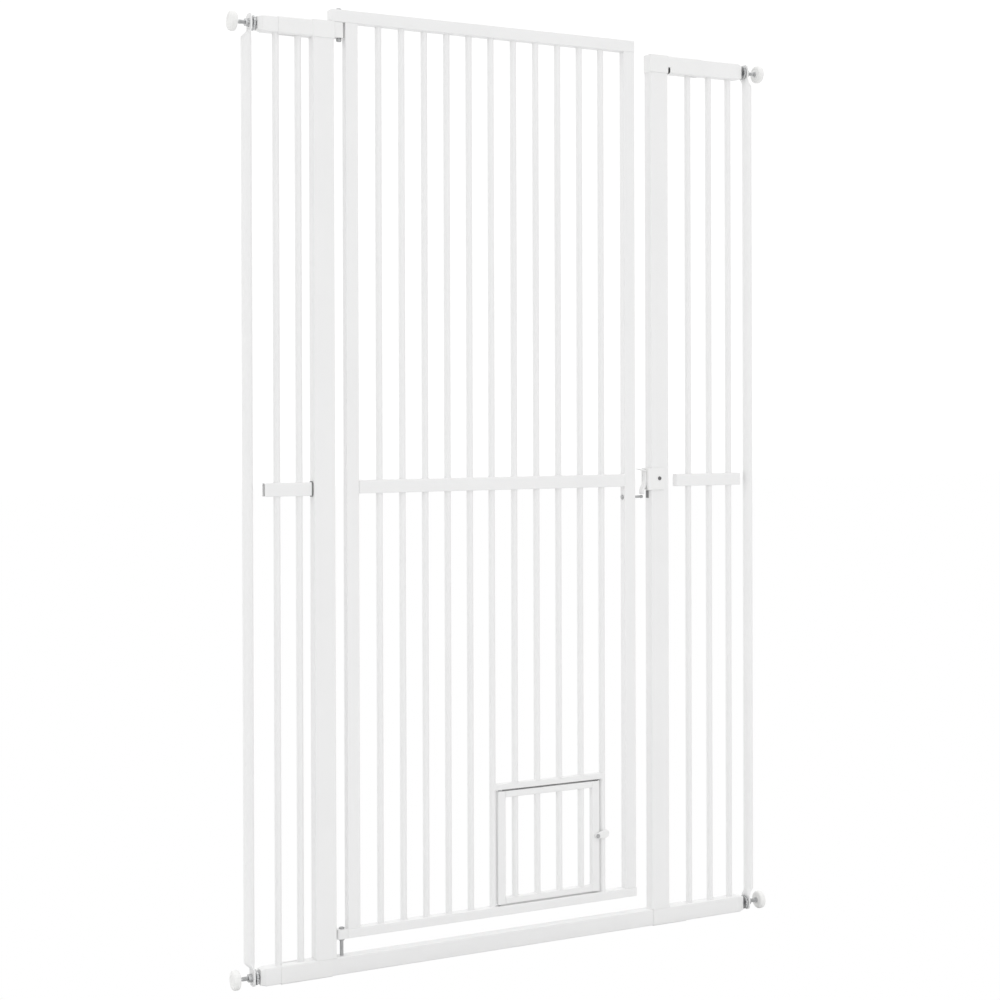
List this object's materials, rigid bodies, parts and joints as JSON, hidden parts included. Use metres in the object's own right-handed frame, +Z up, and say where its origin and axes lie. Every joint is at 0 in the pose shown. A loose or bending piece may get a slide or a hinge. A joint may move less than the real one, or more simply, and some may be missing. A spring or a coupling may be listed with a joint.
{
  "type": "pet gate",
  "caption": "Tall white steel pressure-fit pet gate with a swinging barred door, a small cat door inside it, side panels and threaded wall spindles.",
  "frame": {"origin": "on the floor, midway between the two walls that the pads press on, in the middle of the gate's thickness", "axes": "+X across the doorway towards the latch side, +Y away from the person at the latch, +Z up"},
  "size_m": [1.169, 0.036, 1.8033],
  "materials": {
    "white_powder_coat": "fine satin powder coat",
    "white_plastic": "satin moulded",
    "zinc_steel": "zinc plated",
    "dark_plastic": "moulded, fine grain",
    "pad_rubber": "matt moulded"
  },
  "bodies": {
    "frame": {"latch_housing": "white_plastic", "latch_screw": "zinc_steel", "latch_spring": "zinc_steel", "latch_strike": "dark_plastic", "left_bottom_connector": "white_plastic", "left_bottom_rail": "white_powder_coat", "left_post": "white_powder_coat", "left_side_bars": "white_powder_coat", "left_side_strip": "white_powder_coat", "left_top_connector": "white_plastic", "left_top_rail": "white_powder_coat", "left_wall_bar": "white_powder_coat", "lever_pivot_pin": "zinc_steel", "lock_nuts": "zinc_steel", "rail_end_caps": "white_plastic", "right_bottom_connector": "white_plastic", "right_bottom_rail": "white_powder_coat", "right_post": "white_powder_coat", "right_side_bars": "white_powder_coat", "right_side_strip": "white_powder_coat", "right_top_connector": "white_plastic", "right_top_rail": "white_powder_coat", "right_wall_bar": "white_powder_coat", "threshold_rail": "white_powder_coat"},
    "door": {"door_bars": "white_powder_coat", "door_bottom_rail": "white_powder_coat", "door_hinge_stile": "white_powder_coat", "door_latch_side_bar": "white_powder_coat", "door_latch_stile": "white_powder_coat", "door_mid_rail": "white_powder_coat", "door_short_bars": "white_powder_coat", "door_top_rail": "white_powder_coat", "cat_door_header": "white_powder_coat", "top_hinge_pin": "zinc_steel", "top_hinge_nut": "zinc_steel", "bottom_hinge_pin": "zinc_steel", "hinge_washer": "zinc_steel", "latch_bolt": "zinc_steel", "latch_bolt_nuts": "zinc_steel"},
    "cat_door": {"cat_door_bars": "white_powder_coat", "cat_door_bottom_rail": "white_powder_coat", "cat_door_hinge_pins": "zinc_steel", "cat_door_hinge_stile": "white_powder_coat", "cat_door_latch_stile": "white_powder_coat", "cat_door_top_rail": "white_powder_coat", "turn_button_rivet": "zinc_steel"},
    "turn_button": {"turn_button": "white_plastic"},
    "latch_lever": {"latch_lever": "white_plastic"},
    "left_bottom_spindle": {"left_bottom_rod": "zinc_steel", "left_bottom_pad": "pad_rubber"},
    "left_top_spindle": {"left_top_rod": "zinc_steel", "left_top_pad": "pad_rubber"},
    "right_bottom_spindle": {"right_bottom_rod": "zinc_steel", "right_bottom_pad": "pad_rubber"},
    "right_top_spindle": {"right_top_rod": "zinc_steel", "right_top_pad": "pad_rubber"},
    "left_bottom_wheel": {"left_bottom_hand_wheel": "zinc_steel"},
    "left_top_wheel": {"left_top_hand_wheel": "zinc_steel"},
    "right_bottom_wheel": {"right_bottom_hand_wheel": "zinc_steel"},
    "right_top_wheel": {"right_top_hand_wheel": "zinc_steel"}
  },
  "joints": [
    {"name": "door_swing", "type": "hinge", "parent": "frame", "child": "door", "pos_m": [-0.37, 0, 0.9], "axis": [0, 0, 1], "range_deg": [-90, 90]},
    {"name": "cat_door_swing", "type": "hinge", "parent": "door", "child": "cat_door", "pos_m": [-0.037, 0, 0.198], "axis": [0, 0, -1], "range_deg": [0, 100]},
    {"name": "turn_button_turn", "type": "hinge", "parent": "cat_door", "child": "turn_button", "pos_m": [0.1795, -0.0085, 0.198], "axis": [0, 1, 0], "range_deg": [-90, 90]},
    {"name": "latch_lever_press", "type": "hinge", "parent": "frame", "child": "latch_lever", "pos_m": [0.2998, 0, 0.918], "axis": [0, -1, 0], "range_deg": [0, 10], "stiffness_Nm_per_rad": 0.4, "springref_deg": -8.59},
    {"name": "left_bottom_wheel_turn", "type": "hinge", "parent": "frame", "child": "left_bottom_wheel", "pos_m": [-0.5395, 0, 0.0177], "axis": [1, 0, 0], "range_deg": [-3500, 5820]},
    {"name": "left_bottom_spindle_slide", "type": "slide", "parent": "frame", "child": "left_bottom_spindle", "axis": [-1, 0, 0], "range_m": [-0.012, 0.02]},
    {"name": "left_top_wheel_turn", "type": "hinge", "parent": "frame", "child": "left_top_wheel", "pos_m": [-0.5395, 0, 1.7603], "axis": [1, 0, 0], "range_deg": [-3500, 5820]},
    {"name": "left_top_spindle_slide", "type": "slide", "parent": "frame", "child": "left_top_spindle", "axis": [-1, 0, 0], "range_m": [-0.012, 0.02]},
    {"name": "right_bottom_wheel_turn", "type": "hinge", "parent": "frame", "child": "right_bottom_wheel", "pos_m": [0.5395, 0, 0.0177], "axis": [-1, 0, 0], "range_deg": [-3500, 5820]},
    {"name": "right_bottom_spindle_slide", "type": "slide", "parent": "frame", "child": "right_bottom_spindle", "axis": [1, 0, 0], "range_m": [-0.012, 0.02]},
    {"name": "right_top_wheel_turn", "type": "hinge", "parent": "frame", "child": "right_top_wheel", "pos_m": [0.5395, 0, 1.7583], "axis": [-1, 0, 0], "range_deg": [-3500, 5820]},
    {"name": "right_top_spindle_slide", "type": "slide", "parent": "frame", "child": "right_top_spindle", "axis": [1, 0, 0], "range_m": [-0.012, 0.02]}
  ],
  "couplings": [
    {"joint": "left_bottom_wheel_turn", "follows": "left_bottom_spindle_slide", "rad_per_m": 5026.5},
    {"joint": "left_top_wheel_turn", "follows": "left_top_spindle_slide", "rad_per_m": 5026.5},
    {"joint": "right_bottom_wheel_turn", "follows": "right_bottom_spindle_slide", "rad_per_m": 5026.5},
    {"joint": "right_top_wheel_turn", "follows": "right_top_spindle_slide", "rad_per_m": 5026.5}
  ]
}
